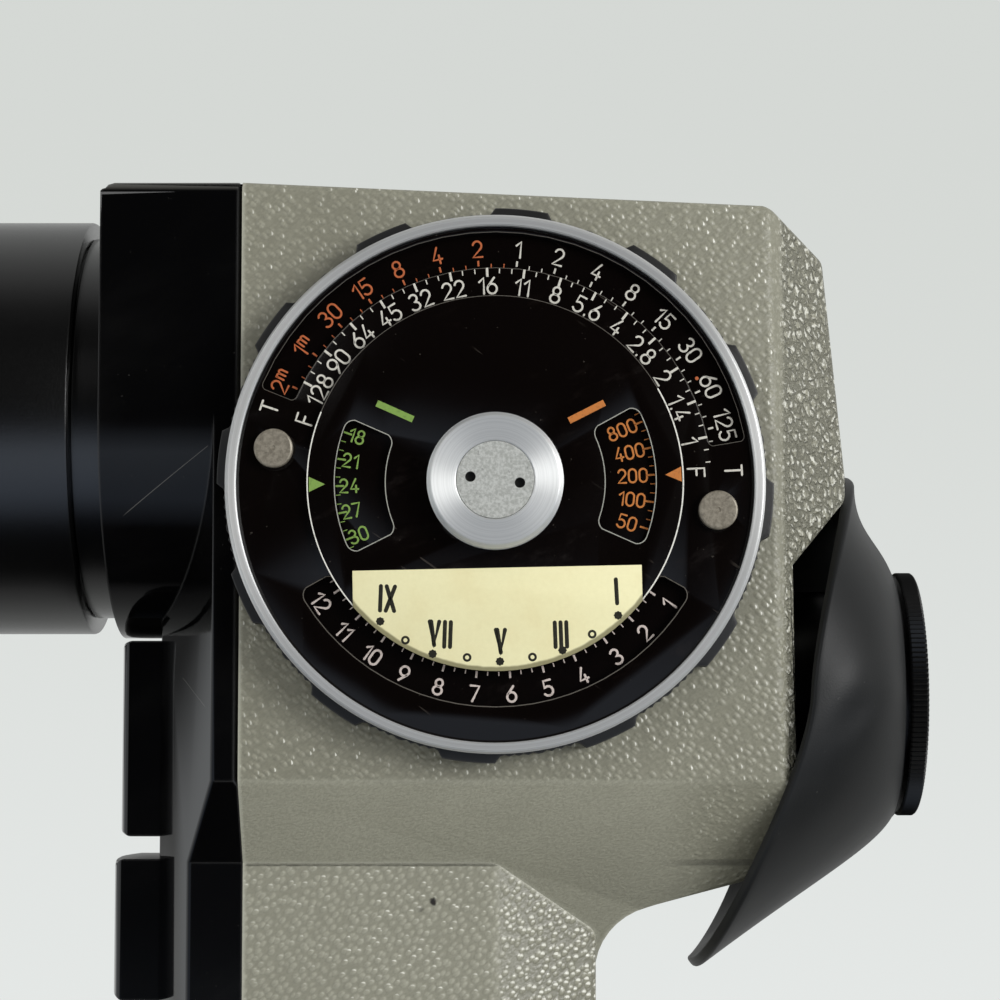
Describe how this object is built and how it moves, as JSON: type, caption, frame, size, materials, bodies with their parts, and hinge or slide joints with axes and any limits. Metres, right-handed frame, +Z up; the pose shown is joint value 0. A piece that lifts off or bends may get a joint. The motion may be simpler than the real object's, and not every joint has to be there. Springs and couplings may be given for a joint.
{
  "type": "spot light meter",
  "caption": "Hand-held photographic spot light meter: lens barrel in front, exposure calculator dial on the left side, pistol handle with triggers, and a rubber eyecup.",
  "frame": {"origin": "mouth of the tripod socket, in the middle of the handle's base", "axes": "+Z up along the handle, -X towards the lens and the scene, +X towards the eye, -Y out of the side that carries the dial"},
  "size_m": [0.1785, 0.069, 0.1603],
  "materials": {
    "housing_paint": "warm grey, moulded with a leather grain",
    "gloss_black": "polished black",
    "satin_black": "fine matt black",
    "dial_black": "gloss black with engraved scales",
    "bright_metal": "turned and satin",
    "dull_metal": "plain machined",
    "label_cream": "matt cream card",
    "soft_rubber": "soft matt",
    "brass": "machined",
    "clear_glass": "coated",
    "mirror": "silvered",
    "screen_white": "ground white",
    "inner_black": "matt black",
    "board_green": "varnished board",
    "battery_case": "printed tin, left plain",
    "meter_metal": "magnet steel",
    "copper": "wound copper and cell face",
    "needle_red": "red enamel"
  },
  "bodies": {
    "body": {"left_housing": "housing_paint", "right_housing": "housing_paint", "front_cover": "gloss_black", "base_plate": "satin_black", "housing_screws": "dull_metal", "base_screws": "dull_metal", "tripod_socket": "brass", "battery": "battery_case", "battery_contacts": "inner_black", "lens_mount": "satin_black", "dial_base": "satin_black", "speed_mask": "dial_black", "dial_label": "label_cream", "dial_hub": "bright_metal", "dial_spindle": "dull_metal", "spring_washer": "dull_metal", "eyepiece_tube": "satin_black", "eyecup": "soft_rubber", "switch_board": "board_green", "switches": "inner_black", "optics_frame": "inner_black", "main_mirror": "mirror", "focusing_screen": "screen_white", "lower_prism": "clear_glass", "prism_seat": "inner_black", "scale_plate": "screen_white", "scale_lamp": "screen_white", "photocell": "copper", "cell_holder": "inner_black", "meter_yoke": "meter_metal", "circuit_board": "board_green", "board_parts": "inner_black"},
    "outer_dial": {"grip_ring": "satin_black", "bezel": "bright_metal", "time_disc": "dial_black"},
    "speed_plate": {"window_disc": "dial_black", "dial_pins": "dull_metal"},
    "focus_barrel": {"focus_ring": "satin_black"},
    "lens_group": {"lens_cell": "satin_black", "front_element": "clear_glass", "rear_element": "clear_glass", "lens_retainer": "satin_black"},
    "diopter": {"diopter_ring": "satin_black"},
    "eyepiece_group": {"eyepiece_cell": "satin_black", "eyepiece_lens": "clear_glass"},
    "high_trigger": {"upper_trigger": "gloss_black", "upper_plunger": "dull_metal"},
    "low_trigger": {"lower_trigger": "gloss_black", "lower_plunger": "dull_metal"},
    "battery_door": {"battery_cover": "satin_black"},
    "needle": {"meter_coil": "copper", "meter_needle": "needle_red"}
  },
  "joints": [
    {"name": "dial_turn", "type": "hinge", "parent": "body", "child": "outer_dial", "pos_m": [0.0164, -0.033, 0.1207], "axis": [0, -1, 0], "continuous": true},
    {"name": "speed_turn", "type": "hinge", "parent": "body", "child": "speed_plate", "pos_m": [0.0164, -0.033, 0.1207], "axis": [0, -1, 0], "range_deg": [-50, 50]},
    {"name": "focus_turn", "type": "hinge", "parent": "body", "child": "focus_barrel", "pos_m": [-0.07, 0, 0.1312], "axis": [-1, 0, 0], "range_deg": [0, 270]},
    {"name": "focus_travel", "type": "slide", "parent": "body", "child": "lens_group", "axis": [-1, 0, 0], "range_m": [0, 0.0076]},
    {"name": "diopter_turn", "type": "hinge", "parent": "body", "child": "diopter", "pos_m": [0.072, 0, 0.0946], "axis": [1, 0, 0], "range_deg": [-90, 90]},
    {"name": "diopter_travel", "type": "slide", "parent": "body", "child": "eyepiece_group", "axis": [1, 0, 0], "range_m": [-0.001, 0.001]},
    {"name": "upper_trigger_press", "type": "slide", "parent": "body", "child": "high_trigger", "axis": [1, 0, 0], "range_m": [0, 0.0026], "stiffness_N_per_m": 500},
    {"name": "lower_trigger_press", "type": "slide", "parent": "body", "child": "low_trigger", "axis": [1, 0, 0], "range_m": [0, 0.0026], "stiffness_N_per_m": 500},
    {"name": "battery_door_slide", "type": "slide", "parent": "body", "child": "battery_door", "axis": [1, 0, 0], "range_m": [0, 0.021]},
    {"name": "needle_swing", "type": "hinge", "parent": "body", "child": "needle", "pos_m": [0, 0, 0.1], "axis": [0, 0, 1], "range_deg": [-17, 17], "stiffness_Nm_per_rad": 0.0005}
  ],
  "couplings": [
    {"joint": "focus_travel", "follows": "focus_turn", "m_per_rad": 0.0016},
    {"joint": "diopter_travel", "follows": "diopter_turn", "m_per_rad": 0.0006}
  ]
}
